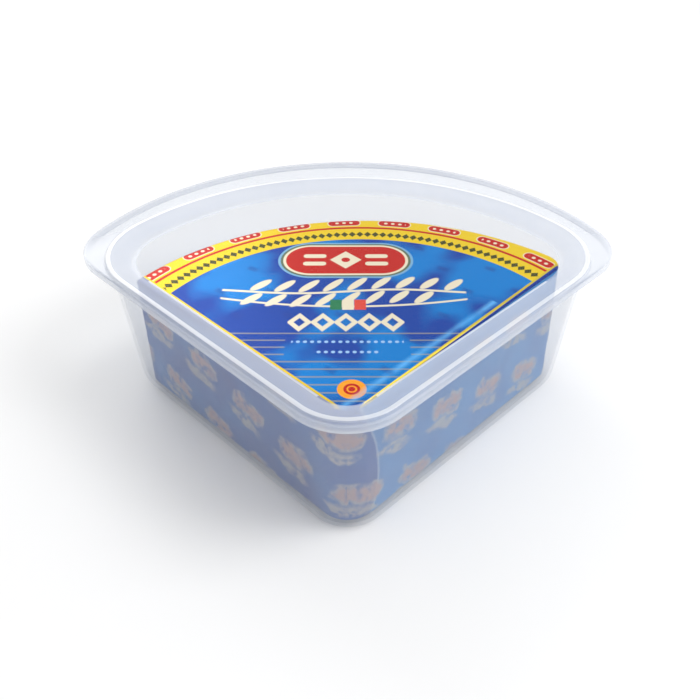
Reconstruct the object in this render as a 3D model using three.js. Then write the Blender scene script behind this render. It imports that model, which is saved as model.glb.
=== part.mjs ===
// A retail wedge of blue cheese: the wedge wrapped in printed foil, lying in a clear plastic tub
// shaped like a rounded quarter circle, shut by a press-on lid with a sunken panel.
// Millimetres, +Z up. The apex of the wedge points along -Y, towards the viewer.
import * as THREE from 'three';
import { ParametricGeometry } from 'three/addons/geometries/ParametricGeometry.js';

// Driving sizes of the pack
const PACK_HEIGHT = 40;
const WALL = 0.9;
const FIT_GAP = 0.3;
const TUB_HALF_ANGLE = THREE.MathUtils.degToRad(45);

// Plan outline of the lid's round ridge, the line that runs all round the pack
const RIDGE = {
  tip: 0,
  halfAngle: TUB_HALF_ANGLE,
  apexRadius: 15.4,
  cornerRadius: 24.8,
  backCentre: 47.1,
  backRadius: 76.9,
};

// Plan outline of the outer lip, which leaves the ridge at the back to make a wide grip with two ears
const LIP = {
  tip: -0.6,
  halfAngle: TUB_HALF_ANGLE,
  apexRadius: 15.8,
  cornerRadius: 18.6,
  backCentre: 57.7,
  backRadius: 78.9,
};

// Lid: how far its lines lie inside the ridge, and its levels
const PANEL_INSET = 7.3;
const PANEL_DEPTH = 1.8;
const STEP_INSET = 2.5;
const STEP_DROP = 0.25;
const FLANGE_DROP = 0.9;
const LIP_DROP = 2.8;
const EDGE_ROUND = 0.6;

// Tub: the walls lean outwards from a rounded foot to a flange under the lid
const TUB_TOP = PACK_HEIGHT - FLANGE_DROP - WALL - FIT_GAP;
const WALL_TOP_INSET = 1.4;
const WALL_FOOT_INSET = 4.6;
const FOOT_RADIUS = 2.6;
const FLOOR = 1;

// Foil-wrapped wedge: a sector with soft edges, a little narrower than the tub; its curved back is
// the rind side of the cheese and lies slightly askew, so its right rear corner reaches further back
const WEDGE = {
  turn: THREE.MathUtils.degToRad(1.55),
  tip: 11.4,
  halfAngle: THREE.MathUtils.degToRad(45.35),
  apexRadius: 7,
  cornerRadius: 5.5,
  leftCornerRadius: 2,
  backSkew: 5.6,
  backCentre: 25.4,
  backRadius: 74.4,
};

// The soft cheese has sunk and spread at its foot, until it nearly fills the tub from flank to flank
const WEDGE_FOOT = {
  turn: THREE.MathUtils.degToRad(0.3),
  tip: 8.55,
  halfAngle: THREE.MathUtils.degToRad(44.9),
  apexRadius: 8.5,
  cornerRadius: 7,
  leftCornerRadius: 4.5,
  backSkew: 2.4,
  backCentre: 27.6,
  backRadius: 73.3,
};
const WEDGE_BOTTOM = FLOOR + FIT_GAP;
const WEDGE_TOP = PACK_HEIGHT - PANEL_DEPTH - WALL - FIT_GAP;
const TOP_ROUND = 1.3;
const BOTTOM_ROUND = 1.9;
const FOIL_WAVE = 0.28;

// Steps along the apex, a flank, a rear corner and half of the back, on either side of the middle
const SHELL_STEPS = [5, 2, 8, 9];
const WEDGE_STEPS = [4, 9, 3, 12];

const PACK_DEPTH_MIDDLE = (apexY(LIP) + LIP.backCentre + LIP.backRadius) / 2;

// The foremost point of an outline
function apexY({ tip, halfAngle, apexRadius }) {
  return tip + apexRadius / Math.sin(halfAngle) - apexRadius;
}

// The same outline moved inwards all round; its arcs keep their centres
function inset(outline, distance) {
  return {
    ...outline,
    tip: outline.tip + distance / Math.sin(outline.halfAngle),
    apexRadius: outline.apexRadius - distance,
    cornerRadius: outline.cornerRadius - distance,
    leftCornerRadius: (outline.leftCornerRadius ?? outline.cornerRadius) - distance,
    backRadius: outline.backRadius - distance,
  };
}

function arc(centre, radius, start, end) {
  return new THREE.EllipseCurve(centre.x, centre.y, radius, radius, start, end);
}

// The right half of an outline: apex arc, straight flank, corner arc and half of the curved back
function halfOutline({ tip, halfAngle, apexRadius, cornerRadius, backSkew = 0, backCentre, backRadius }) {
  const flankWay = new THREE.Vector2(Math.sin(halfAngle), Math.cos(halfAngle));
  const apexCentre = new THREE.Vector2(0, tip + apexRadius / Math.sin(halfAngle));
  const back = new THREE.Vector2(backSkew, backCentre);
  const start = new THREE.Vector2(0, tip + cornerRadius / Math.sin(halfAngle));
  const offset = start.clone().sub(back);
  const ahead = offset.dot(flankWay);
  const along = Math.sqrt(ahead ** 2 - offset.lengthSq() + (backRadius - cornerRadius) ** 2) - ahead;
  const corner = start.addScaledVector(flankWay, along);
  const cornerEnd = corner.clone().sub(back).angle();
  const apexArc = arc(apexCentre, apexRadius, -Math.PI / 2, -halfAngle);
  const cornerArc = arc(corner, cornerRadius, -halfAngle, cornerEnd);
  const backArc = arc(back, backRadius, cornerEnd, Math.PI / 2);
  const flank = new THREE.LineCurve(apexArc.getPoint(1), cornerArc.getPoint(0));
  return [apexArc, flank, cornerArc, backArc];
}

function halfPoints(outline, steps) {
  return halfOutline(outline).flatMap((curve, i) => curve.getPoints(steps[i]).slice(0, -1));
}

// Points all round an outline, counterclockwise from its apex; the left half mirrors the right one
function outlinePoints(outline, steps) {
  const skew = outline.backSkew ?? 0;
  const right = halfPoints(outline, steps);
  const back = new THREE.Vector2(skew, outline.backCentre + outline.backRadius);
  const cornerRadius = outline.leftCornerRadius ?? outline.cornerRadius;
  const left = halfPoints({ ...outline, cornerRadius, backSkew: -skew }, steps).slice(1).reverse();
  return [...right, back, ...left.map((point) => new THREE.Vector2(-point.x, point.y)), right[0]];
}

// A ring drawn together to one point, the middle of a floor or a panel
function middle(outline, steps) {
  const centre = new THREE.Vector2(0, outline.backCentre + outline.cornerRadius / 2);
  return outlinePoints(outline, steps).map(() => centre);
}

// A closed skin through rings that run from the middle of the underside, outwards, up and back inwards
function skin(rings) {
  const around = rings[0].points.length - 1;
  const along = rings.length - 1;
  return new ParametricGeometry((u, v, target) => {
    const ring = rings[Math.round(v * along)];
    const point = ring.points[Math.round(u * around)];
    target.set(point.x, point.y - PACK_DEPTH_MIDDLE, ring.z);
  }, around, along);
}

function shellRing(outline, z) {
  return { points: outlinePoints(outline, SHELL_STEPS), z };
}

function shellMiddle(z) {
  return { points: middle(RIDGE, SHELL_STEPS), z };
}

// How far the tub's wall lies inside the ridge at a height, on its outer face
function wallInset(z) {
  return THREE.MathUtils.mapLinear(z, 0, TUB_TOP, WALL_FOOT_INSET, WALL_TOP_INSET);
}

// The rounded foot of the tub, as rings from the floor to the wall; offset is 0 outside and WALL inside
function footRings(offset, floorLevel) {
  const steps = [0, 1, 2, 3];
  return steps.map((step) => {
    const turn = (step / 3) * (Math.PI / 2);
    const rise = FOOT_RADIUS * (1 - Math.cos(turn));
    const z = floorLevel + rise;
    const distance = wallInset(z) + offset + FOOT_RADIUS * (1 - Math.sin(turn));
    return shellRing(inset(RIDGE, distance), z);
  });
}

function tubGeometry() {
  const underFlange = TUB_TOP - WALL;
  const flangeEdge = inset(LIP, WALL + FIT_GAP);
  return skin([
    shellMiddle(0),
    ...footRings(0, 0),
    shellRing(inset(RIDGE, wallInset(PACK_HEIGHT / 2)), PACK_HEIGHT / 2),
    shellRing(inset(RIDGE, wallInset(underFlange)), underFlange),
    shellRing(flangeEdge, underFlange),
    shellRing(flangeEdge, TUB_TOP),
    shellRing(inset(RIDGE, wallInset(TUB_TOP) + WALL), TUB_TOP),
    shellRing(inset(RIDGE, wallInset(PACK_HEIGHT / 2) + WALL), PACK_HEIGHT / 2),
    ...footRings(WALL, FLOOR).reverse(),
    shellMiddle(FLOOR),
  ]);
}

function lidGeometry() {
  const top = PACK_HEIGHT;
  const panel = top - PANEL_DEPTH;
  const flange = top - FLANGE_DROP;
  const lipEnd = top - LIP_DROP;
  return skin([
    shellMiddle(panel - WALL),
    shellRing(inset(RIDGE, PANEL_INSET + EDGE_ROUND), panel - WALL),
    shellRing(inset(RIDGE, STEP_INSET + EDGE_ROUND), top - STEP_DROP - WALL),
    shellRing(inset(RIDGE, EDGE_ROUND + WALL / 2), flange - WALL / 2),
    shellRing(inset(RIDGE, EDGE_ROUND), flange - WALL),
    shellRing(inset(LIP, WALL), flange - WALL),
    shellRing(inset(LIP, WALL), lipEnd),
    shellRing(LIP, lipEnd),
    shellRing(LIP, flange - EDGE_ROUND),
    shellRing(inset(LIP, EDGE_ROUND / 3), flange),
    shellRing(inset(RIDGE, 0), flange + EDGE_ROUND / 2),
    shellRing(inset(RIDGE, EDGE_ROUND), top),
    shellRing(inset(RIDGE, EDGE_ROUND * 2), top),
    shellRing(inset(RIDGE, STEP_INSET), top - STEP_DROP),
    shellRing(inset(RIDGE, PANEL_INSET), panel),
    shellMiddle(panel),
  ]);
}

// Shallow folds of the foil: they swell and sink along the wedge's flanks and die out at its edges
function foilWave(along, height) {
  const fade = Math.sin(Math.PI * height);
  return FOIL_WAVE * fade * (Math.sin(along * 41 + height * 3) + 0.6 * Math.sin(along * 97 - height * 5));
}

// Points of one of the wedge's outlines, turned about its tip
function turnedPoints(outline, distance) {
  const tip = new THREE.Vector2(0, outline.tip);
  const points = outlinePoints(inset(outline, distance), WEDGE_STEPS);
  return points.map((point) => point.clone().rotateAround(tip, outline.turn));
}

// The wedge's outline at a height, between its spread foot and its narrower top
function wedgeRing(distance, z) {
  const height = (z - WEDGE_BOTTOM) / (WEDGE_TOP - WEDGE_BOTTOM);
  const top = turnedPoints(WEDGE, distance);
  const points = turnedPoints(WEDGE_FOOT, distance).map((point, i) => point.lerp(top[i], height));
  const waved = points.map((point, i) => {
    const turn = (i % (points.length - 1)) / (points.length - 1);
    const before = points[(i + points.length - 2) % (points.length - 1)];
    const after = points[(i + 1) % (points.length - 1)];
    const inwards = new THREE.Vector2(before.y - after.y, after.x - before.x).normalize();
    return point.clone().addScaledVector(inwards, Math.max(0, FOIL_WAVE + foilWave(turn, height)));
  });
  return { points: waved, z };
}

// Rings of a rounded edge, from the level face round to the side, or back again
function roundedEdge(radius, level, side, steps) {
  return Array.from({ length: steps + 1 }, (_, step) => {
    const turn = (step / steps) * (Math.PI / 2);
    const z = level + side * radius * (1 - Math.cos(turn));
    return wedgeRing(radius * (1 - Math.sin(turn)), z);
  });
}

function wedgeGeometry() {
  const sideBottom = WEDGE_BOTTOM + BOTTOM_ROUND;
  const sideTop = WEDGE_TOP - TOP_ROUND;
  const sideRings = Array.from({ length: 5 }, (_, i) => (
    wedgeRing(0, THREE.MathUtils.lerp(sideBottom, sideTop, (i + 1) / 6))
  ));
  return skin([
    { points: middle(WEDGE, WEDGE_STEPS), z: WEDGE_BOTTOM },
    ...roundedEdge(BOTTOM_ROUND, WEDGE_BOTTOM, 1, 3),
    ...sideRings,
    ...roundedEdge(TOP_ROUND, WEDGE_TOP, -1, 2).reverse(),
    { points: middle(WEDGE, WEDGE_STEPS), z: WEDGE_TOP },
  ]);
}

function clearPlastic(color, opacity) {
  return new THREE.MeshStandardMaterial({ color, opacity, transparent: true, roughness: 0.25 });
}

function printedFoil() {
  return new THREE.MeshStandardMaterial({ color: 0x2f57b0, roughness: 0.3, metalness: 0.4 });
}

function piece(name, geometry, material) {
  const mesh = new THREE.Mesh(geometry, material);
  mesh.name = name;
  return mesh;
}

const group = new THREE.Group();
group.add(piece('tub', tubGeometry(), clearPlastic(0xdde3ea, 0.45)));
group.add(piece('foil_wedge', wedgeGeometry(), printedFoil()));
group.add(piece('lid', lidGeometry(), clearPlastic(0xe6ebf0, 0.3)));

export default group;
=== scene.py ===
# %% [markdown]
# A shop pack of blue cheese: a wedge wrapped in printed foil lies in a thin clear tub with the plan
# of a rounded quarter circle, and a clear lid with a sunken panel is pressed on top.
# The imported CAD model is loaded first. It fixes every size, so each new piece below repeats the
# CAD's named sizes in metres and adds what a plain solid lacks: rounded plastic edges, soft folds
# in the foil, and finishes.

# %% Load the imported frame
import math

import bmesh
import bpy
from mathutils import Matrix, Vector, noise


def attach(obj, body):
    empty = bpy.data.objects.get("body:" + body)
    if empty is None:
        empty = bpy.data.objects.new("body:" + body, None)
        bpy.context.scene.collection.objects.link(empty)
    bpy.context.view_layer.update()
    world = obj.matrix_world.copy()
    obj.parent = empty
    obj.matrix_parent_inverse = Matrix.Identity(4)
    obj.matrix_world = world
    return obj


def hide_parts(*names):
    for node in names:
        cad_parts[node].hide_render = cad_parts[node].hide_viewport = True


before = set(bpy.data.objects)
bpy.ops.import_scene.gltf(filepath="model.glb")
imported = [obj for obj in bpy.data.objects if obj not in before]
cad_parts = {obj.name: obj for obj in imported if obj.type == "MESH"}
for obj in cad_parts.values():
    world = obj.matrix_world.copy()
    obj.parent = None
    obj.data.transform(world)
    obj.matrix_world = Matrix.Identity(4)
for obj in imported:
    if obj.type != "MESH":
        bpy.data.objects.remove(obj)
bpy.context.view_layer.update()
scene = bpy.context.scene
print("nodes:", sorted(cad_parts))

# %% [markdown]
# The camera comes before the modelling, so that every trial render can be compared with the photo.
# It stands in front of the wedge's point, looks down at 37.6 degrees and is not rolled. Those
# figures come from the vanishing points of the tub's straight edges in the photo.

# %% Place the camera
CAMERA_PLACE = Vector((0.0006, -0.1816, 0.1487))
CAMERA_PITCH = math.radians(37.6)
CAMERA_LENS = 39.8


def place_camera():
    """A camera at the photo's viewing angle."""
    camera = bpy.data.objects.new("camera", bpy.data.cameras.new("camera"))
    camera.data.lens = CAMERA_LENS
    camera.data.sensor_width = 36
    camera.data.clip_start = 0.01
    camera.location = CAMERA_PLACE
    camera.rotation_euler = (math.pi / 2 - CAMERA_PITCH, 0, 0)
    scene.collection.objects.link(camera)
    scene.camera = camera
    return camera


camera = place_camera()
print("camera lens", camera.data.lens, "mm")

# %% [markdown]
# Every piece of this pack has the same kind of plan: a round apex, two straight flanks, two round
# rear corners and a wide curved back. Four outlines are enough. The ridge is the lid's round crest,
# the lip is the outer rim, which leaves the ridge at the back to make a grip with two ears, and the
# last two are the wrapped cheese, which lies a little askew and has spread at its foot.

# %% Name the four outlines
RIGHT_ANGLE = math.pi / 2
RIDGE = {
    "tip": -0.07127,
    "half_angle": math.radians(45),
    "apex_radius": 0.0154,
    "corner_radius": 0.0248,
    "left_corner_radius": 0.0248,
    "back_centre": -0.02417,
    "back_radius": 0.0769,
    "back_skew": 0.0,
}
LIP = {
    "tip": -0.07187,
    "half_angle": math.radians(45),
    "apex_radius": 0.0158,
    "corner_radius": 0.0186,
    "left_corner_radius": 0.0186,
    "back_centre": -0.01357,
    "back_radius": 0.0789,
    "back_skew": 0.0,
}
WEDGE = {
    "tip": -0.05987,
    "half_angle": math.radians(45.35),
    "apex_radius": 0.007,
    "corner_radius": 0.0055,
    "left_corner_radius": 0.002,
    "back_centre": -0.04587,
    "back_radius": 0.0744,
    "back_skew": 0.0056,
    "turn": math.radians(1.55),
}
WEDGE_FOOT = {
    "tip": -0.06272,
    "half_angle": math.radians(44.9),
    "apex_radius": 0.0085,
    "corner_radius": 0.007,
    "left_corner_radius": 0.0045,
    "back_centre": -0.04367,
    "back_radius": 0.0733,
    "back_skew": 0.0024,
    "turn": math.radians(0.3),
}
STEPS = {"apex": 12, "flank": 40, "corner": 12, "back": 72}
print("points on an outline:", 2 * sum(STEPS.values()) - STEPS["back"])

# %% [markdown]
# An outline is drawn as with a pen. One vertex is spun round the centre of each arc in turn, and a
# spin with no turn but some travel draws a straight flank. The pen ends where it began, and merging
# doubles closes the ring. Every ring has the same number of points, so any two can be bridged.

# %% Draw a closed outline with the spin operator
def moved_in(outline, inwards):
    """The same outline, moved inwards all round; its arcs keep their centres."""
    moved = dict(outline)
    moved["tip"] += inwards / math.sin(outline["half_angle"])
    for arc in ("apex_radius", "corner_radius", "left_corner_radius", "back_radius"):
        moved[arc] -= inwards
    return moved


def apex_centre(outline):
    """The centre of the round apex."""
    return Vector((0, outline["tip"] + outline["apex_radius"] / math.sin(outline["half_angle"]), 0))


def rear_corner(outline, side):
    """A rear corner's centre, and the angle above the side at which the back takes over from it."""
    radius = outline["corner_radius" if side > 0 else "left_corner_radius"]
    flank = Vector((side * math.sin(outline["half_angle"]), math.cos(outline["half_angle"]), 0))
    start = Vector((0, outline["tip"] + radius / math.sin(outline["half_angle"]), 0))
    back = Vector((outline["back_skew"], outline["back_centre"], 0))
    reach = outline["back_radius"] - radius
    ahead = (start - back).dot(flank)
    along = math.sqrt(ahead**2 - (start - back).length_squared + reach**2) - ahead
    centre = start + flank * along
    from_back = centre - back
    return centre, math.atan2(from_back.y, side * from_back.x)


def stroke(bm, pen, centre, turn, steps, travel=(0, 0, 0)):
    """Moves the pen round a centre, or straight on if it only travels, and returns where it ends."""
    drawn = bmesh.ops.spin(
        bm,
        geom=[pen],
        cent=centre,
        axis=(0, 0, 1),
        dvec=Vector(travel) / steps,
        angle=turn,
        steps=steps,
    )
    return next(item for item in drawn["geom_last"] if isinstance(item, bmesh.types.BMVert))


def draw_ring(bm, outline, inwards, height):
    """Draws an outline, moved inwards, at a height, and returns its edges."""
    earlier = set(bm.verts)
    shape = moved_in(outline, inwards)
    up = Vector((0, 0, height))
    half = shape["half_angle"]
    apex = apex_centre(shape) + up
    right, right_end = rear_corner(shape, 1)
    left, left_end = rear_corner(shape, -1)
    back = Vector((shape["back_skew"], shape["back_centre"], height))
    ways = {side: Vector((side * math.sin(half), math.cos(half), 0)) for side in (1, -1)}
    out = ways[1] * (right + up - apex).dot(ways[1])
    home = -ways[-1] * (left + up - apex).dot(ways[-1])
    pen = bm.verts.new(apex - Vector((0, shape["apex_radius"], 0)))
    pen = stroke(bm, pen, apex, RIGHT_ANGLE - half, STEPS["apex"])
    pen = stroke(bm, pen, apex, 0, STEPS["flank"], out)
    pen = stroke(bm, pen, right + up, half + right_end, STEPS["corner"])
    pen = stroke(bm, pen, back, math.pi - left_end - right_end, STEPS["back"])
    pen = stroke(bm, pen, left + up, half + left_end, STEPS["corner"])
    pen = stroke(bm, pen, apex, 0, STEPS["flank"], home)
    stroke(bm, pen, apex, RIGHT_ANGLE - half, STEPS["apex"])
    drawn = [vert for vert in bm.verts if vert not in earlier]
    bmesh.ops.remove_doubles(bm, verts=drawn, dist=1e-5)
    ring = {vert for vert in bm.verts if vert not in earlier}
    turn = Matrix.Rotation(outline.get("turn", 0), 3, "Z")
    bmesh.ops.rotate(bm, verts=list(ring), cent=(0, outline["tip"], 0), matrix=turn)
    return [edge for edge in bm.edges if edge.verts[0] in ring and edge.verts[1] in ring]


trial = bmesh.new()
trial_ring = draw_ring(trial, RIDGE, 0, 0)
print("ring edges:", len(trial_ring), "loose ends:", sum(len(v.link_edges) != 2 for v in trial.verts))
trial.free()

# %% [markdown]
# Three short helpers serve every piece. One bridges a stack of rings into a skin, one rounds a ring
# with a bevel, and the last turns the finished bmesh into an object that rides on the frame. The
# normals are made to point outwards before a skin gets its thickness.

# %% Join, round and keep a skin
WIDE_AREA = 0.001


def join_rings(bm, rings):
    """Bridges each ring to the next one."""
    for lower, upper in zip(rings, rings[1:]):
        bmesh.ops.bridge_loops(bm, edges=lower + upper)


def face_outwards(bm, floor_ring, outwards):
    """Makes the normals agree, then turns them all if the sheet's level face looks the wrong way."""
    level = bmesh.ops.contextual_create(bm, geom=floor_ring)["faces"][0]
    bmesh.ops.recalc_face_normals(bm, faces=bm.faces[:])
    if level.normal.dot(Vector(outwards)) < 0:
        bmesh.ops.reverse_faces(bm, faces=bm.faces[:])
    return level


def round_ring(bm, ring, radius, segments):
    """Rounds the skin where a ring runs."""
    bmesh.ops.bevel(
        bm,
        geom=[edge for edge in ring if edge.is_valid],
        offset=radius,
        offset_type="OFFSET",
        affect="EDGES",
        segments=segments,
        profile=0.5,
        material=-1,
        clamp_overlap=True,
    )


def keep_level_faces_flat(bm):
    """Insets the wide level faces a little, so that smooth shading doesn't bend them."""
    wide = [face for face in bm.faces if face.calc_area() > WIDE_AREA]
    bmesh.ops.inset_individual(bm, faces=wide, thickness=0.0006)


def keep_piece(bm, name, node):
    """Makes the object, which rides on the pack and stands for its CAD node."""
    mesh = bpy.data.meshes.new(name)
    bm.to_mesh(mesh)
    bm.free()
    mesh.shade_smooth()
    mesh.set_sharp_from_angle(angle=math.radians(50))
    piece = bpy.data.objects.new(name, mesh)
    scene.collection.objects.link(piece)
    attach(piece, "root")
    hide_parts(node)
    axes = [[1000 * vert.co[axis] for vert in mesh.vertices] for axis in range(3)]
    box = [[round(min(values), 2), round(max(values), 2)] for values in axes]
    print(name, "faces:", len(mesh.polygons), "reach in x, y and z in mm:", box)
    return piece


# %% [markdown]
# The tub is drawn from one thin sheet of plastic by heat and air, so it has no thick parts and no
# sharp edges. Its walls lean outwards from a rounded foot to a flat flange. Here the outer skin is
# made first: a floor, a leaning wall and a flange. The bevels round the foot and the bend at the
# flange, and solidify gives the whole sheet one even thickness, as the real process does.

# %% Model the tub
WALL = 0.0009
PACK_HEIGHT = 0.04
TUB_TOP = 0.0379
FOOT_INSET = 0.0046
FOOT_RADIUS = 0.0026
BEND_RADIUS = 0.0005


def wall_inset(height):
    """How far the tub's wall lies inside the ridge at a height."""
    return FOOT_INSET + (0.0014 - FOOT_INSET) * height / TUB_TOP


def model_tub():
    """The thin tub as an outer skin with an even thickness."""
    bm = bmesh.new()
    under = TUB_TOP - WALL
    foot = draw_ring(bm, RIDGE, wall_inset(0), 0)
    bend = draw_ring(bm, RIDGE, wall_inset(under), under)
    edge = draw_ring(bm, LIP, 0.0012, under)
    join_rings(bm, [foot, bend, edge])
    face_outwards(bm, foot, (0, 0, -1))
    round_ring(bm, foot, FOOT_RADIUS, 8)
    round_ring(bm, bend, BEND_RADIUS, 3)
    keep_level_faces_flat(bm)
    bmesh.ops.solidify(bm, geom=bm.faces[:], thickness=WALL)
    return keep_piece(bm, "tub_shell", "tub")


tub_shell = model_tub()

# %% [markdown]
# The lid is drawn from a sheet in the same way. From its rim inwards it has an upright skirt that
# grips the flange, a flat step, a round crest that runs all round the pack, and a slope down to the
# sunken panel. At the back the skirt swings out and leaves a wide flat grip between itself and the
# crest. Each line is a ring, each pair of rings is bridged, and small bevels soften the bends.

# %% Model the lid
PANEL_INSET = 0.0073
PANEL_LEVEL = 0.0382
FLANGE_LEVEL = 0.0391
SKIRT_END = 0.0372


def model_lid():
    """The thin lid as an outer skin with an even thickness."""
    bm = bmesh.new()
    rings = [
        draw_ring(bm, LIP, 0, SKIRT_END),
        draw_ring(bm, LIP, 0, FLANGE_LEVEL),
        draw_ring(bm, RIDGE, 0.0001, FLANGE_LEVEL + 0.0001),
        draw_ring(bm, RIDGE, 0.0005, PACK_HEIGHT),
        draw_ring(bm, RIDGE, 0.0014, PACK_HEIGHT),
        draw_ring(bm, RIDGE, 0.0025, PACK_HEIGHT - 0.00025),
        draw_ring(bm, RIDGE, PANEL_INSET, PANEL_LEVEL),
    ]
    join_rings(bm, rings)
    face_outwards(bm, rings[-1], (0, 0, 1))
    round_ring(bm, rings[1], 0.00018, 2)
    for ring in rings[2:5]:
        round_ring(bm, ring, 0.0003, 2)
    round_ring(bm, rings[5], 0.0008, 3)
    round_ring(bm, rings[6], 0.0004, 3)
    keep_level_faces_flat(bm)
    bmesh.ops.solidify(bm, geom=bm.faces[:], thickness=WALL)
    return keep_piece(bm, "lid_shell", "lid")


lid_shell = model_lid()

# %% [markdown]
# The cheese is wrapped in one sheet of printed foil. The foil is tight on the flat top and hugs the
# sides in shallow, sharp folds, with a loose flap near the apex and two flaps that meet at the back.
# Two rings are bridged and filled to give the wedge, bevels round its edges, and its sides and top
# are cut into small faces. The vertices are then pushed inwards a little by smooth noise, so that
# the parcel never leaves the space that its CAD solid holds.

# %% Model the bare parcel
PARCEL_FLOOR = 0.0013
PARCEL_TOP = 0.037
TOP_ROUND = 0.0013
BOTTOM_ROUND = 0.0019
SIDE_ROWS = 20
TOP_MESH = 0.0018


def cut_flat_face(bm, height, spacing):
    """Cuts a level face into small squares with upright planes."""
    for axis in (0, 1):
        normal = Vector((1 - axis, axis, 0))
        count = int(0.075 / spacing)
        for step in range(-count, count + 1):
            flat = [face for face in bm.faces if abs(face.calc_center_median().z - height) < 1e-5]
            edges = {edge for face in flat for edge in face.edges}
            verts = {vert for face in flat for vert in face.verts}
            bmesh.ops.bisect_plane(
                bm,
                geom=flat + list(edges) + list(verts),
                dist=1e-5,
                plane_co=normal * (step + 0.37) * spacing,
                plane_no=normal,
            )


def bare_parcel():
    """The wedge with rounded edges and a fine mesh, before it's creased."""
    bm = bmesh.new()
    low = draw_ring(bm, WEDGE_FOOT, 0, PARCEL_FLOOR)
    high = draw_ring(bm, WEDGE, 0, PARCEL_TOP)
    join_rings(bm, [low, high])
    bmesh.ops.contextual_create(bm, geom=low)
    bmesh.ops.contextual_create(bm, geom=high)
    bmesh.ops.recalc_face_normals(bm, faces=bm.faces[:])
    round_ring(bm, high, TOP_ROUND, 4)
    round_ring(bm, low, BOTTOM_ROUND, 5)
    uprights = [edge for edge in bm.edges if abs(edge.verts[0].co.z - edge.verts[1].co.z) > 0.02]
    bmesh.ops.subdivide_edges(bm, edges=uprights, cuts=SIDE_ROWS, use_grid_fill=True)
    cut_flat_face(bm, PARCEL_TOP, TOP_MESH)
    cut_flat_face(bm, PARCEL_FLOOR, 2 * TOP_MESH)
    return bm


parcel = bare_parcel()
print("parcel faces:", len(parcel.faces), "open edges:", sum(not e.is_manifold for e in parcel.edges))

# %% [markdown]
# The side print follows the foil round the wedge, so it needs a map of the sheet: the distance
# along the flanks or the back, and the height. Each face gets it before the folds are made.

# %% Map the foil sheet
MAP_NAME = "foil_sheet"


def along_outline(place):
    """How far a place on the sides lies from the apex, along the foil; left of it is negative."""
    side = 1 if place.x >= 0 else -1
    flank = Vector((side * math.sin(WEDGE["half_angle"]), math.cos(WEDGE["half_angle"])))
    apex = apex_centre(WEDGE).y - WEDGE["apex_radius"] - WEDGE["tip"]
    return side * (Vector((place.x, place.y - WEDGE["tip"])).dot(flank) - apex * flank.y)


def map_sheet(bm):
    """Writes the foil's own coordinates, in metres, on every face."""
    layer = bm.loops.layers.uv.new(MAP_NAME)
    for face in bm.faces:
        middle = face.calc_center_median()
        at_back = face.normal.y > 0.3 and middle.y > 0
        for loop in face.loops:
            place = loop.vert.co
            if abs(face.normal.z) > 0.8:
                loop[layer].uv = (place.x, place.y)
            elif at_back:
                turn = math.atan2(place.x - WEDGE["back_skew"], place.y - WEDGE["back_centre"])
                loop[layer].uv = (turn * WEDGE["back_radius"] + 0.3, place.z)
            else:
                loop[layer].uv = (along_outline(place), place.z)


map_sheet(parcel)
print("mapped faces:", len(parcel.faces))

# %% [markdown]
# Foil doesn't swell like cloth. It stays flat between creases, so the noise that moves it has sharp
# valleys: the distance between two layers of cell noise gives flat facets with straight ridges.

# %% Crease the parcel
FOLD_DEPTH = 0.0004
TOP_DEPTH = 0.00012
FLAP_STEP = 0.00025
FLAP_MIDDLE = 0.0035
FLAP_SWING = 0.004
FLAP_BEND = 95
FLAP_EDGE = 0.0006


def facets(place, size, seed):
    """Flat facets with sharp ridges, from 0 to 1."""
    near = noise.voronoi(place / size + Vector((seed, seed, seed)))[0]
    return min(1.0, max(0.0, near[1] - near[0]))


def ramp(value, start, end):
    """0 before start, 1 after end and smooth between them."""
    share = min(1.0, max(0.0, (value - start) / (end - start)))
    return share * share * (3 - 2 * share)


def flap(place):
    """1 where the foil lies double: a flap beside the apex, and two that meet at the back."""
    if place.y < -0.02:
        reach = along_outline(place)
        edge = FLAP_MIDDLE + FLAP_SWING * math.sin(place.z * FLAP_BEND)
        return ramp(reach, edge, edge + FLAP_EDGE)
    if place.y > 0:
        lean = abs(place.x - 0.002) - 0.006 - 0.9 * place.z
        return ramp(lean, 0, 0.0008)
    return 0.0


def crease(bm):
    """Pushes the foil inwards by its folds."""
    moves = {}
    for vert in bm.verts:
        sideways = 1 - abs(vert.normal.z)
        depth = TOP_DEPTH + (FOLD_DEPTH - TOP_DEPTH) * sideways
        folds = 0.6 * facets(vert.co, 0.011, 3) + 0.4 * facets(vert.co, 0.0052, 8)
        swell = 0.5 + 0.5 * noise.noise(vert.co / 0.016)
        inwards = depth * (0.65 * (1 - folds) + 0.35 * swell)
        if sideways > 0.3:
            inwards += FLAP_STEP * (1 - flap(vert.co)) * ramp(sideways, 0.3, 0.8)
        moves[vert] = -vert.normal * inwards
    for vert, move in moves.items():
        vert.co += move


crease(parcel)
foil_parcel = keep_piece(parcel, "foil_parcel", "foil_wedge")

# %% [markdown]
# The finishes come next. Each is a small sum of Math nodes on the piece's own coordinates. These
# helpers keep the sums readable: calc is one Math node, vec is one Vector Math node, cover turns
# a distance in millimetres into a mask that is 1 inside, and ink lays one colour over another.

# %% Helpers for printing with nodes
def paint(red, green, blue):
    """A colour as a screen shows it, from 0 to 255, turned into the renderer's own numbers."""
    shares = [value / 255 for value in (red, green, blue)]
    linear = [s / 12.92 if s <= 0.04045 else ((s + 0.055) / 1.055) ** 2.4 for s in shares]
    return (*linear, 1.0)


def put(tree, socket, value):
    """Sets a socket to a number or colour, or links another socket to it."""
    if isinstance(value, bpy.types.NodeSocket):
        tree.links.new(value, socket)
    else:
        socket.default_value = value


def calc(tree, operation, *values):
    """One Math node on numbers or sockets."""
    node = tree.nodes.new("ShaderNodeMath")
    node.operation = operation
    for socket, value in zip(node.inputs, values):
        put(tree, socket, value)
    return node.outputs[0]


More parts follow.
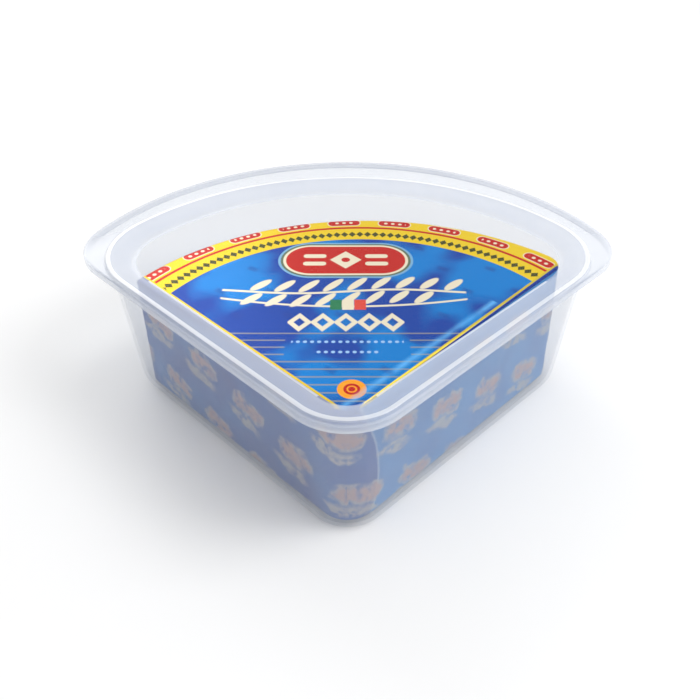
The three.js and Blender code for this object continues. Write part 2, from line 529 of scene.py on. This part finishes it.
def vec(tree, operation, *values):
    """One Vector Math node; a length or a distance comes out as a number."""
    node = tree.nodes.new("ShaderNodeVectorMath")
    node.operation = operation
    for socket, value in zip(node.inputs, values):
        put(tree, socket, value)
    return node.outputs["Value" if operation in ("LENGTH", "DISTANCE", "DOT_PRODUCT") else "Vector"]


def cover(tree, distance, soft=0.12):
    """1 where the distance is below 0, with a soft edge."""
    node = tree.nodes.new("ShaderNodeMapRange")
    node.interpolation_type = "SMOOTHSTEP"
    node.inputs["From Min"].default_value = soft
    node.inputs["From Max"].default_value = -soft
    put(tree, node.inputs["Value"], distance)
    return node.outputs["Result"]


def limit(tree, value):
    """Keeps a value between 0 and 1."""
    node = tree.nodes.new("ShaderNodeClamp")
    put(tree, node.inputs[0], value)
    return node.outputs[0]


def ink(tree, below, mask, colour):
    """Lays a colour over what is below wherever the mask is 1."""
    node = tree.nodes.new("ShaderNodeMix")
    node.data_type = "RGBA"
    put(tree, node.inputs[0], mask)
    put(tree, node.inputs[6], below)
    put(tree, node.inputs[7], colour)
    return node.outputs[2]


def cloud(tree, place, size, detail=2.0, seed=0.0):
    """Smooth noise from 0 to 1 with patches of a size."""
    node = tree.nodes.new("ShaderNodeTexNoise")
    node.noise_dimensions = "4D"
    put(tree, node.inputs["Vector"], place)
    node.inputs["W"].default_value = seed
    node.inputs["Scale"].default_value = 1 / size
    node.inputs["Detail"].default_value = detail
    return node.outputs["Fac"]


def spread_cloud(tree, place, size):
    """Noise with its own value for each axis, to roughen the outline of a shape."""
    node = tree.nodes.new("ShaderNodeTexNoise")
    put(tree, node.inputs["Vector"], place)
    node.inputs["Scale"].default_value = 1 / size
    node.inputs["Detail"].default_value = 2.0
    return node.outputs["Color"]


def start_finish(name):
    """A new material with its node tree and its Principled shader."""
    material = bpy.data.materials.new(name)
    material.use_nodes = True
    tree = material.node_tree
    return material, tree, tree.nodes["Principled BSDF"]


def in_millimetres(tree, source):
    """A coordinate socket, scaled so that its sums are in millimetres, and split into x, y and z."""
    node = tree.nodes.new("ShaderNodeVectorMath")
    node.operation = "SCALE"
    put(tree, node.inputs[0], source)
    node.inputs["Scale"].default_value = 1000
    split = tree.nodes.new("ShaderNodeSeparateXYZ")
    put(tree, split.inputs[0], node.outputs["Vector"])
    return node.outputs["Vector"], split.outputs


print("helpers ready")

# %% [markdown]
# The print's shapes are all distances: to a bar with round ends, to a lozenge, to a disc. A row of
# equal shapes is one shape in a coordinate that wraps round, and the band along the wedge's back
# uses the angle and the radius about the band's own centre in place of x and y.

# %% Shapes of the print
def flat_place(tree, x, y):
    """A flat vector of two sockets or numbers."""
    node = tree.nodes.new("ShaderNodeCombineXYZ")
    put(tree, node.inputs[0], x)
    put(tree, node.inputs[1], y)
    return node.outputs[0]


def bar(tree, place, centre, half, corner):
    """Distance to a bar with round corners, in millimetres and negative inside."""
    core = (max(0.0, half[0] - corner), max(0.0, half[1] - corner), 0)
    off = vec(tree, "SUBTRACT", place, (*centre, 0))
    past = vec(tree, "SUBTRACT", vec(tree, "ABSOLUTE", off), core)
    reach = vec(tree, "LENGTH", vec(tree, "MAXIMUM", past, (0, 0, 0)))
    return calc(tree, "SUBTRACT", reach, corner)


def lozenge(tree, place, centre, half):
    """Distance to a lozenge."""
    off = vec(tree, "ABSOLUTE", vec(tree, "SUBTRACT", place, (*centre, 0)))
    across = vec(tree, "DOT_PRODUCT", off, (1 / half[0], 1 / half[1], 0))
    return calc(tree, "MULTIPLY", calc(tree, "SUBTRACT", across, 1), 0.7 * min(half))


def lens(tree, place, centre, half):
    """Distance to a leaf-like ellipse."""
    off = vec(tree, "SUBTRACT", place, (*centre, 0))
    reach = vec(tree, "LENGTH", vec(tree, "DIVIDE", off, (*half, 1)))
    return calc(tree, "MULTIPLY", calc(tree, "SUBTRACT", reach, 1), min(half))


def disc(tree, place, centre, radius):
    """Distance to a disc."""
    return calc(tree, "SUBTRACT", vec(tree, "DISTANCE", place, (*centre, 0)), radius)


def rim(tree, distance, half):
    """Distance to a line of a half width along a shape's edge."""
    return calc(tree, "SUBTRACT", calc(tree, "ABSOLUTE", distance), half)


def row(tree, value, pitch, start=0.0):
    """Wraps a coordinate, so that one shape repeats at every pitch."""
    return calc(tree, "WRAP", calc(tree, "SUBTRACT", value, start), pitch / 2, -pitch / 2)


def within(tree, *masks):
    """Where all the masks meet."""
    joined = masks[0]
    for mask in masks[1:]:
        joined = calc(tree, "MULTIPLY", joined, mask)
    return joined


print("shapes ready")

# %% [markdown]
# The label is the flat top of the foil. Its blue runs from royal to azure in soft patches, and the
# azure patches are painted reflection of the sky in the glossy foil. A yellow band with red tablets
# follows the curved back, a red plaque and a cream branch take the middle, and fine stripes fill the
# point. The design is the builder's own, in the colours and scale of such packs, and it carries no
# lettering.

# %% Print the label
ROYAL = paint(24, 66, 156)
AZURE = paint(12, 122, 200)
DEEP_BLUE = paint(28, 58, 140)
YELLOW = paint(228, 196, 36)
RED = paint(188, 34, 26)
CREAM = paint(228, 218, 192)
OLIVE = paint(72, 74, 34)
GOLD_GREY = paint(150, 150, 140)
ORANGE = paint(244, 158, 38)
BAND_CENTRE = (3.5, -41.6)
BAND_RADIUS = 67.9
TABLET_PITCH = 15.15
TABLET_START = -4.7
PLAQUE_MIDDLE = (-0.6, 4.8)
PLAQUE_HALF = (16.6, 7.2)
PATCH_LEVEL = -17.4
GEM_LEVEL = -25.1
STRIPE_PITCH = 2.77
STRIPE_START = -29.8
SEAL_MIDDLE = (1.0, -50.7)
LEAF_PITCH = 6.4
BRANCH_LEVEL = -11.2


def blue_field(tree, flat, x):
    """Royal blue that turns to azure in soft patches, more so on the right and at the left rear; the
    azure is painted sky reflection.
    """
    patches = calc(tree, "MULTIPLY_ADD", x, 0.002, cloud(tree, flat, 17, 1.5, 4.0))
    left_rear = cover(tree, disc(tree, flat, (-34, 0), 12), 9)
    patches = calc(tree, "MULTIPLY_ADD", left_rear, 0.14, patches)
    share = calc(tree, "MULTIPLY", calc(tree, "SUBTRACT", patches, 0.44), 8)
    return ink(tree, ROYAL, limit(tree, share), AZURE)


def band_inks(tree, colour, flat):
    """The yellow band along the back, with its red line, red tablets and a row of olive lozenges."""
    off = vec(tree, "SUBTRACT", flat, (*BAND_CENTRE, 0))
    split = tree.nodes.new("ShaderNodeSeparateXYZ")
    put(tree, split.inputs[0], off)
    radius = calc(tree, "SUBTRACT", vec(tree, "LENGTH", off), BAND_RADIUS)
    turn = calc(tree, "ARCTAN2", split.outputs[0], split.outputs[1])
    along = calc(tree, "MULTIPLY", turn, BAND_RADIUS)
    colour = ink(tree, colour, cover(tree, calc(tree, "SUBTRACT", -10.0, radius)), YELLOW)
    line = rim(tree, calc(tree, "ADD", radius, 3.1), 0.5)
    colour = ink(tree, colour, cover(tree, line), RED)
    marks = flat_place(tree, row(tree, along, 2.5), calc(tree, "ADD", radius, 7.0))
    colour = ink(tree, colour, cover(tree, lozenge(tree, marks, (0, 0), (1.2, 1.5))), OLIVE)
    tablets = flat_place(tree, row(tree, along, TABLET_PITCH, TABLET_START), radius)
    shape = bar(tree, tablets, (0, 0), (4.7, 1.6), 1.5)
    colour = ink(tree, colour, cover(tree, calc(tree, "SUBTRACT", shape, 0.3)), CREAM)
    colour = ink(tree, colour, cover(tree, shape), RED)
    beads = flat_place(tree, row(tree, along, 2.1, TABLET_START), radius)
    bead = within(
        tree,
        cover(tree, disc(tree, beads, (0, 0), 0.55)),
        cover(tree, bar(tree, tablets, (0, 0), (3.4, 1.0), 0.2)),
    )
    return ink(tree, colour, bead, CREAM)


def plaque_inks(tree, colour, flat):
    """The red plaque with its pale and olive rims, and a plain ornament on it."""
    shape = bar(tree, flat, PLAQUE_MIDDLE, PLAQUE_HALF, 7.1)
    colour = ink(tree, colour, cover(tree, calc(tree, "SUBTRACT", shape, 2.2)), paint(120, 170, 205))
    colour = ink(tree, colour, cover(tree, calc(tree, "SUBTRACT", shape, 1.5)), paint(96, 112, 88))
    colour = ink(tree, colour, cover(tree, calc(tree, "SUBTRACT", shape, 0.8)), CREAM)
    colour = ink(tree, colour, cover(tree, shape), RED)
    middle = lozenge(tree, flat, PLAQUE_MIDDLE, (4.4, 4.6))
    colour = ink(tree, colour, cover(tree, middle), CREAM)
    colour = ink(tree, colour, cover(tree, disc(tree, flat, PLAQUE_MIDDLE, 1.2)), RED)
    for side in (-1, 1):
        for rise in (-2.0, 2.0):
            place = (PLAQUE_MIDDLE[0] + side * 8.6, PLAQUE_MIDDLE[1] + rise)
            dash = bar(tree, flat, place, (3.2, 1.0), 0.9)
            colour = ink(tree, colour, cover(tree, dash), CREAM)
    return colour


def branch_inks(tree, colour, x, y):
    """A cream branch: slanting leaves above and below a thin stem, over a line that swings below it."""
    ends = cover(tree, calc(tree, "SUBTRACT", calc(tree, "ABSOLUTE", calc(tree, "ADD", x, 1.0)), 32), 0.3)
    sway = calc(tree, "SINE", calc(tree, "MULTIPLY", x, 0.12))
    level = calc(tree, "MULTIPLY_ADD", sway, 0.9, BRANCH_LEVEL)
    above = calc(tree, "SUBTRACT", y, level)
    stem = cover(tree, rim(tree, above, 0.45))
    colour = ink(tree, colour, within(tree, ends, stem), CREAM)
    for side in (1, -1):
        lean = calc(tree, "MULTIPLY_ADD", above, -0.75, x)
        across = row(tree, lean, LEAF_PITCH, (1 - side) * LEAF_PITCH / 4)
        leaf = flat_place(tree, across, above)
        shape = lens(tree, leaf, (0, side * 3.4), (1.55, 2.9))
        leaves_reach = (4.25 + side / 4) * LEAF_PITCH
        whole = cover(tree, calc(tree, "SUBTRACT", calc(tree, "ABSOLUTE", lean), leaves_reach))
        colour = ink(tree, colour, within(tree, whole, cover(tree, shape, 0.15)), CREAM)
    swing = calc(tree, "MULTIPLY_ADD", calc(tree, "MULTIPLY", x, x), 0.0035, -18.2)
    line = rim(tree, calc(tree, "SUBTRACT", y, swing), 0.4)
    return ink(tree, colour, within(tree, ends, cover(tree, line)), CREAM)


def small_inks(tree, colour, flat, x, y):
    """The three-colour patch, the row of cream lozenges and the small dots under them."""
    for centre, tint in ((-3.0, paint(40, 120, 80)), (0.1, CREAM), (3.2, paint(214, 74, 60))):
        patch = bar(tree, flat, (centre, PATCH_LEVEL), (1.5, 2.3), 0.2)
        colour = ink(tree, colour, cover(tree, patch), tint)
    gems = flat_place(tree, row(tree, x, 5.8, -0.4), y)
    gem = rim(tree, lozenge(tree, gems, (0, GEM_LEVEL), (2.3, 2.9)), 0.6)
    span = cover(tree, bar(tree, flat, (-0.4, GEM_LEVEL), (14.5, 4), 0.1))
    colour = ink(tree, colour, within(tree, span, cover(tree, gem)), CREAM)
    for height, reach in ((-33.2, 13.5), (-37.2, 8.0)):
        dots = flat_place(tree, row(tree, x, 1.7), y)
        line = within(
            tree,
            cover(tree, disc(tree, dots, (0, height), 0.5)),
            cover(tree, bar(tree, flat, (0, height), (reach, 1), 0.1)),
        )
        colour = ink(tree, colour, line, paint(150, 190, 230))
    return colour


def print_label():
    """The finish of the foil's printed top."""
    material, tree, shader = start_finish("label_print")
    source = tree.nodes.new("ShaderNodeTexCoord").outputs["Object"]
    place, (x, y, _) = in_millimetres(tree, source)
    flat = flat_place(tree, x, y)
    colour = blue_field(tree, flat, x)
    motif = flat_place(tree, row(tree, calc(tree, "MULTIPLY_ADD", y, 0.5, x), 13), row(tree, y, 11))
    faint = calc(tree, "MULTIPLY", cover(tree, lozenge(tree, motif, (0, 0), (1.7, 1.7)), 0.5), 0.45)
    colour = ink(tree, colour, faint, DEEP_BLUE)
    stripes = cover(tree, rim(tree, row(tree, y, STRIPE_PITCH, STRIPE_START), 0.24), 0.1)
    low = cover(tree, calc(tree, "ADD", y, 28.6))
    quiet = cover(tree, calc(tree, "MULTIPLY", bar(tree, flat, (0, -35.2), (15, 4.4), 1), -1))
    colour = ink(tree, colour, calc(tree, "MULTIPLY", within(tree, stripes, low, quiet), 0.75), GOLD_GREY)
    colour = branch_inks(tree, colour, x, y)
    colour = small_inks(tree, colour, flat, x, y)
    colour = plaque_inks(tree, colour, flat)
    colour = ink(tree, colour, cover(tree, disc(tree, flat, SEAL_MIDDLE, 3.3)), ORANGE)
    colour = ink(tree, colour, cover(tree, disc(tree, flat, SEAL_MIDDLE, 1.9)), RED)
    colour = ink(tree, colour, cover(tree, rim(tree, disc(tree, flat, SEAL_MIDDLE, 1.0), 0.2)), ORANGE)
    colour = band_inks(tree, colour, flat)
    from_tip = vec(tree, "SUBTRACT", flat, (0, 1000 * WEDGE["tip"], 0))
    right = WEDGE["turn"] - WEDGE["half_angle"]
    outwards = vec(tree, "DOT_PRODUCT", from_tip, (math.cos(right), math.sin(right), 0))
    along = vec(tree, "DOT_PRODUCT", from_tip, (-math.sin(right), math.cos(right), 0))
    # A mottled pale cyan streak just inside the right edge is a painted highlight of the rounded edge.
    painted_edge_highlight = cover(tree, rim(tree, calc(tree, "ADD", outwards, 3.0), 0.7), 0.9)
    glint = calc(tree, "GREATER_THAN", calc(tree, "SUBTRACT", 58, along), 0)
    mottle = cloud(tree, place, 3.2, 1.0, 9.0)
    colour = ink(tree, colour, within(tree, painted_edge_highlight, glint, mottle), paint(110, 196, 255))
    borders = ((1, 0.35, 0.012, paint(204, 182, 60)), (-1, 0.95, 0.03, YELLOW))
    for side, near, widening, tint in borders:
        lean = -WEDGE["half_angle"] * side + WEDGE["turn"]
        inside = vec(tree, "DOT_PRODUCT", from_tip, (side * math.cos(lean), side * math.sin(lean), 0))
        reach = vec(tree, "DOT_PRODUCT", from_tip, (-math.sin(lean), math.cos(lean), 0))
        line = calc(tree, "ADD", inside, calc(tree, "MULTIPLY_ADD", reach, widening, near))
        colour = ink(tree, colour, cover(tree, calc(tree, "MULTIPLY", line, -1)), DEEP_BLUE)
        colour = ink(tree, colour, cover(tree, rim(tree, line, 0.3)), tint)
    put(tree, shader.inputs["Base Color"], colour)
    shader.inputs["Metallic"].default_value = 0.35
    shader.inputs["Specular IOR Level"].default_value = 0.05
    wear = cloud(tree, place, 4.0, 3.0, 1.0)
    put(tree, shader.inputs["Roughness"], calc(tree, "MULTIPLY_ADD", wear, 0.2, 0.24))
    bump = tree.nodes.new("ShaderNodeBump")
    bump.inputs["Strength"].default_value = 0.25
    bump.inputs["Distance"].default_value = 0.0003
    put(tree, bump.inputs["Height"], cloud(tree, place, 2.2, 3.0, 2.0))
    put(tree, shader.inputs["Normal"], bump.outputs["Normal"])
    return material


label_print = print_label()
print("label nodes:", len(label_print.node_tree.nodes))

# %% [markdown]
# The sides of the foil are seen through the milky tub. They carry a small repeating motif, set at
# a slant because the sheet was wrapped on the skew: a red tablet over a cream petal, both worn.
# The sheet's loose end runs as a wavy edge beside the point, with a lighter blue beyond it, and a painted
# highlight runs along that edge as a pale line.

# %% Print the wrap
LABEL_LEVEL = 0.0362
MOTIF_PITCH = (13.5, 12.0)
MOTIF_SLANT = math.radians(14)
MOTIF_SIZE = 1.35
MOTIF_TOP = 30.5


def print_wrap():
    """The finish of the foil's sides and underside."""
    material, tree, shader = start_finish("wrap_print")
    uv = tree.nodes.new("ShaderNodeUVMap")
    uv.uv_map = MAP_NAME
    place, sheet = in_millimetres(tree, uv.outputs["UV"])
    turned = tree.nodes.new("ShaderNodeMapping")
    turned.inputs["Rotation"].default_value = (0, 0, MOTIF_SLANT)
    turned.inputs["Scale"].default_value = (1 / MOTIF_SIZE, 1 / MOTIF_SIZE, 1)
    put(tree, turned.inputs["Vector"], place)
    split = tree.nodes.new("ShaderNodeSeparateXYZ")
    put(tree, split.inputs[0], turned.outputs[0])
    x, y = split.outputs[0], split.outputs[1]
    sheet_along, sheet_up = sheet[0], sheet[1]
    rows = calc(tree, "FLOOR", calc(tree, "MULTIPLY", y, 1 / MOTIF_PITCH[1]))
    shifted = calc(tree, "MULTIPLY_ADD", rows, MOTIF_PITCH[0] / 2, x)
    u = row(tree, shifted, MOTIF_PITCH[0])
    v = row(tree, y, MOTIF_PITCH[1], MOTIF_PITCH[1] / 2)
    cell = flat_place(tree, u, v)
    sway = calc(tree, "SINE", calc(tree, "MULTIPLY", sheet_up, FLAP_BEND / 1000))
    flap_line = calc(tree, "MULTIPLY_ADD", sway, 1000 * FLAP_SWING, 1000 * (FLAP_MIDDLE + FLAP_EDGE / 2))
    past_flap = calc(tree, "SUBTRACT", flap_line, sheet_along)
    on_flap = cover(tree, past_flap, 0.4)
    share = calc(tree, "MULTIPLY_ADD", cloud(tree, place, 14, 2.0, 6.0), 1.3, -0.35)
    share = calc(tree, "MULTIPLY_ADD", on_flap, 0.6, share)
    colour = ink(tree, paint(34, 58, 142), limit(tree, share), paint(48, 130, 194))
    # The pale line along the flap's edge is a painted highlight on the foil's edge.
    glint = calc(tree, "MULTIPLY", cover(tree, rim(tree, past_flap, 0.35), 0.2), 0.6)
    colour = ink(tree, colour, glint, paint(160, 180, 205))
    worn = calc(tree, "MULTIPLY_ADD", cloud(tree, place, 2.0, 3.0, 11.0), 2.6, -0.75)
    below_edge = cover(tree, calc(tree, "SUBTRACT", sheet_up, MOTIF_TOP), 1.0)
    worn = within(tree, calc(tree, "MINIMUM", calc(tree, "MAXIMUM", worn, 0.0), 0.7), below_edge)
    rough = vec(tree, "SUBTRACT", spread_cloud(tree, place, 3.5), (0.5, 0.5, 0.5))
    cell = vec(tree, "MULTIPLY_ADD", rough, (3.0, 3.0, 0.0), cell)
    tablet = bar(tree, cell, (0.4, 1.3), (3.7, 1.5), 1.4)
    halo = cover(tree, calc(tree, "SUBTRACT", tablet, 0.8), 0.4)
    colour = ink(tree, colour, within(tree, halo, worn), paint(178, 172, 166))
    colour = ink(tree, colour, within(tree, cover(tree, tablet, 0.4), worn), paint(184, 140, 130))
    petal = lens(tree, cell, (0.0, -2.5), (4.4, 1.3))
    colour = ink(tree, colour, within(tree, cover(tree, petal, 0.4), worn), paint(186, 178, 164))
    put(tree, shader.inputs["Base Color"], colour)
    shader.inputs["Metallic"].default_value = 0.35
    shader.inputs["Specular IOR Level"].default_value = 0.1
    wear = cloud(tree, place, 5.0, 3.0, 7.0)
    put(tree, shader.inputs["Roughness"], calc(tree, "MULTIPLY_ADD", wear, 0.2, 0.26))
    bump = tree.nodes.new("ShaderNodeBump")
    bump.inputs["Strength"].default_value = 0.4
    bump.inputs["Distance"].default_value = 0.0004
    put(tree, bump.inputs["Height"], cloud(tree, place, 3.0, 3.0, 8.0))
    put(tree, shader.inputs["Normal"], bump.outputs["Normal"])
    return material


wrap_print = print_wrap()
foil_parcel.data.materials.append(label_print)
foil_parcel.data.materials.append(wrap_print)
for face in foil_parcel.data.polygons:
    face.material_index = 0 if face.center.z > LABEL_LEVEL else 1
print("label faces:", sum(face.material_index == 0 for face in foil_parcel.data.polygons))

# %% [markdown]
# The plastic is thin polypropylene: glossy, nearly colourless and a little milky. Both faces of each
# wall are modelled, so a small opacity on each adds up, and it adds up more at rims and bends, where
# the eye looks through more plastic. That is why no view-dependent trick is needed. The lid's crest
# and skirt edge get a whiter, more opaque plastic: partly whitening at the bend, partly a painted
# highlight.

# %% Make the plastics
def make_plastic(name, tint, opacity, ripple):
    """Clear milky plastic with a soft ripple in its gloss."""
    material, tree, shader = start_finish(name)
    source = tree.nodes.new("ShaderNodeTexCoord").outputs["Object"]
    place, _ = in_millimetres(tree, source)
    haze = cloud(tree, place, 14, 2.0, 3.0)
    milk = calc(tree, "MULTIPLY", haze, 0.3)
    put(tree, shader.inputs["Base Color"], ink(tree, tint, milk, paint(255, 255, 255)))
    put(tree, shader.inputs["Roughness"], calc(tree, "MULTIPLY_ADD", haze, 0.12, 0.1))
    shader.inputs["Alpha"].default_value = opacity
    bump = tree.nodes.new("ShaderNodeBump")
    bump.inputs["Strength"].default_value = ripple
    bump.inputs["Distance"].default_value = 0.0004
    put(tree, bump.inputs["Height"], cloud(tree, place, 7, 1.0, 5.0))
    put(tree, shader.inputs["Normal"], bump.outputs["Normal"])
    return material


tub_shell.data.materials.append(make_plastic("tub_wall", paint(208, 216, 228), 0.18, 0.25))
lid_shell.data.materials.append(make_plastic("lid_rim", paint(206, 214, 230), 0.37, 0.2))
lid_shell.data.materials.append(make_plastic("lid_panel", paint(240, 243, 247), 0.008, 0.2))
# The crest and skirt edge: whiter, more opaque plastic, partly real whitening at the bend and partly a
# painted highlight line.
lid_shell.data.materials.append(make_plastic("lid_crest", paint(246, 248, 250), 0.6, 0.1))
for face in lid_shell.data.polygons:
    on_crest = face.center.z > PACK_HEIGHT - 0.0001 or face.center.z < SKIRT_END + 0.0001
    in_panel = face.area > WIDE_AREA or abs(face.center.z - PANEL_LEVEL) < 0.00012
    face.material_index = 1 if in_panel else 2 if on_crest and face.normal.z**2 > 0.5 else 0
print("plastics:", [piece.data.materials[0].name for piece in (tub_shell, lid_shell)])

# %% [markdown]
# The stage is a plain pale floor under an even white sky, with one broad lamp high on the right and
# a weaker one behind on the left. Broad lamps give the soft highlights along the rim.

# %% Set the stage and the lights
def make_floor():
    """A plain pale floor."""
    bm = bmesh.new()
    bmesh.ops.create_grid(bm, x_segments=1, y_segments=1, size=3)
    bmesh.ops.translate(bm, verts=bm.verts[:], vec=(0, 0, -0.0003))
    mesh = bpy.data.meshes.new("floor")
    bm.to_mesh(mesh)
    bm.free()
    floor = bpy.data.objects.new("floor", mesh)
    scene.collection.objects.link(floor)
    material, _, shader = start_finish("floor_paper")
    shader.inputs["Base Color"].default_value = (0.9, 0.9, 0.9, 1)
    shader.inputs["Roughness"].default_value = 0.9
    mesh.materials.append(material)
    return floor


def hang_lamp(name, place, aim, size, power):
    """A square soft lamp that looks at a point."""
    lamp = bpy.data.objects.new(name, bpy.data.lights.new(name, "AREA"))
    lamp.data.size = size
    lamp.data.energy = power
    lamp.location = place
    lamp.rotation_euler = (Vector(aim) - Vector(place)).to_track_quat("-Z", "Y").to_euler()
    scene.collection.objects.link(lamp)
    return lamp


make_floor()
hang_lamp("key_lamp", (0.5, -0.05, 0.6), (0, 0, 0.02), 0.35, 2.6)
hang_lamp("back_lamp", (-0.3, 0.6, 0.45), (0, 0, 0.02), 0.4, 1.4)
scene.world = bpy.data.worlds.new("sky")
scene.world.use_nodes = True
sky = scene.world.node_tree.nodes["Background"]
sky.inputs["Color"].default_value = (1, 1, 1, 1)
sky.inputs["Strength"].default_value = 0.78
scene.view_settings.view_transform = "Standard"
